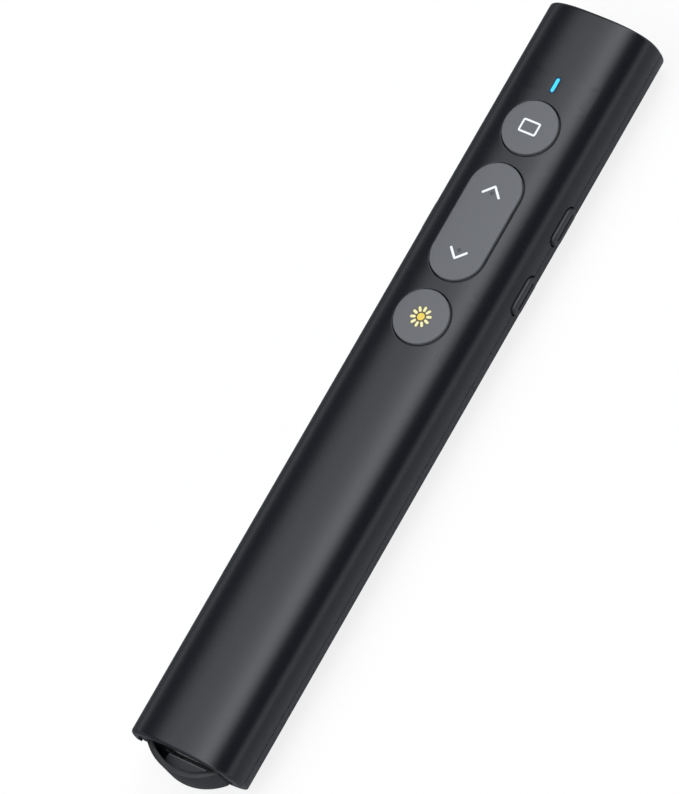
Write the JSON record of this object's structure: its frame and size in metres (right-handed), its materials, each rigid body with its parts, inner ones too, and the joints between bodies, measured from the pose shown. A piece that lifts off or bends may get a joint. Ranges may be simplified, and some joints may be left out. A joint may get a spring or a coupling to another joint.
{
  "type": "wireless presentation clicker",
  "caption": "Slim bar-shaped presentation remote with keys on top, side keys and switch, a sliding battery cover and a stowed USB receiver with a ring bail.",
  "frame": {"origin": "middle of the bounding box at the underside, on the plane the body rests on", "axes": "+Y towards the laser end, +Z out of the key face, +X towards the volume keys"},
  "size_m": [0.0228, 0.1466, 0.014],
  "materials": {
    "shell_plastic": "satin moulded ABS with a fine spark-eroded grain",
    "cover_plastic": "satin moulded ABS with a fine spark-eroded grain",
    "cap_plastic": "polished black polycarbonate",
    "key_plastic": "matt grey moulded ABS",
    "side_key_plastic": "satin black moulded ABS",
    "inner_plastic": "plain black moulded ABS",
    "receiver_plastic": "satin moulded polycarbonate",
    "socket_plastic": "black glass-filled nylon",
    "light_plastic": "clear moulded acrylic, lit blue",
    "window_glass": "polished red-tinted acrylic",
    "lens_glass": "polished moulded lens",
    "laser_brass": "turned brass",
    "gold_plate": "gold-plated phosphor bronze",
    "nickel_sheet": "bright nickel-plated sheet",
    "steel": "nickel-plated steel",
    "cell_jacket": "plain metallic jacket",
    "board_laminate": "green solder mask on glass-epoxy laminate",
    "chip_epoxy": "black moulded epoxy",
    "lead_pvc": "PVC insulation"
  },
  "bodies": {
    "root": {"upper_shell": "shell_plastic", "lower_shell": "shell_plastic", "front_cap": "cap_plastic", "laser_window": "window_glass", "laser_barrel": "laser_brass", "laser_lens": "lens_glass", "laser_diode": "gold_plate", "light_pipe": "light_plastic", "indicator_led": "lens_glass", "circuit_board": "board_laminate", "radio_chip": "chip_epoxy", "crystal": "steel", "top_switches": "chip_epoxy", "volume_switches": "chip_epoxy", "power_switch_case": "steel", "battery_frame": "inner_plastic", "plus_contact": "steel", "battery_can": "cell_jacket", "battery_terminal": "steel", "battery_spring": "steel", "spring_plate": "steel", "battery_leads": "lead_pvc", "receiver_bay": "inner_plastic", "screws": "steel"},
    "cover": {"battery_cover": "cover_plastic"},
    "screen_key": {"screen_button": "key_plastic", "screen_plunger": "inner_plastic"},
    "page_key": {"page_rocker": "key_plastic", "page_plungers": "inner_plastic"},
    "laser_key": {"laser_button": "key_plastic", "laser_plunger": "inner_plastic"},
    "volume_up_key": {"volume_up_button": "side_key_plastic", "volume_up_plunger": "inner_plastic"},
    "volume_down_key": {"volume_down_button": "side_key_plastic", "volume_down_plunger": "inner_plastic"},
    "power_slider": {"power_knob": "side_key_plastic", "power_switch_stem": "inner_plastic"},
    "receiver": {"usb_a_shell": "nickel_sheet", "usb_a_tongue": "socket_plastic", "usb_a_contacts": "gold_plate", "receiver_housing": "receiver_plastic", "receiver_board": "board_laminate", "usb_c_shell": "nickel_sheet", "usb_c_core": "socket_plastic", "usb_c_contacts": "gold_plate"},
    "bail_ring": {"bail": "receiver_plastic"}
  },
  "joints": [
    {"name": "screen_key_press", "type": "slide", "parent": "root", "child": "screen_key", "axis": [0, 0, -1], "range_m": [0, 0.0003], "stiffness_N_per_m": 1500},
    {"name": "laser_key_press", "type": "slide", "parent": "root", "child": "laser_key", "axis": [0, 0, -1], "range_m": [0, 0.0003], "stiffness_N_per_m": 1500},
    {"name": "page_key_rock", "type": "hinge", "parent": "root", "child": "page_key", "pos_m": [0, 0.03165, 0.01019], "axis": [1, 0, 0], "range_deg": [-1.5, 1.5], "stiffness_Nm_per_rad": 0.3},
    {"name": "volume_up_press", "type": "slide", "parent": "root", "child": "volume_up_key", "axis": [-1, 0, 0], "range_m": [0, 0.00025], "stiffness_N_per_m": 1200},
    {"name": "volume_down_press", "type": "slide", "parent": "root", "child": "volume_down_key", "axis": [-1, 0, 0], "range_m": [0, 0.00025], "stiffness_N_per_m": 1200},
    {"name": "power_switch_slide", "type": "slide", "parent": "root", "child": "power_slider", "axis": [0, -1, 0], "range_m": [0, 0.002]},
    {"name": "battery_cover_slide", "type": "slide", "parent": "root", "child": "cover", "axis": [0, -1, 0], "range_m": [0, 0.082]},
    {"name": "receiver_pull", "type": "slide", "parent": "root", "child": "receiver", "axis": [0, -1, 0], "range_m": [0, 0.045]},
    {"name": "bail_swing", "type": "hinge", "parent": "receiver", "child": "bail_ring", "pos_m": [0, -0.05955, 0.00673], "axis": [-1, 0, 0], "range_deg": [0, 90]}
  ],
  "couplings": [
    {"joint": "bail_swing", "follows": "receiver_pull", "rad_per_m": 34.9}
  ]
}
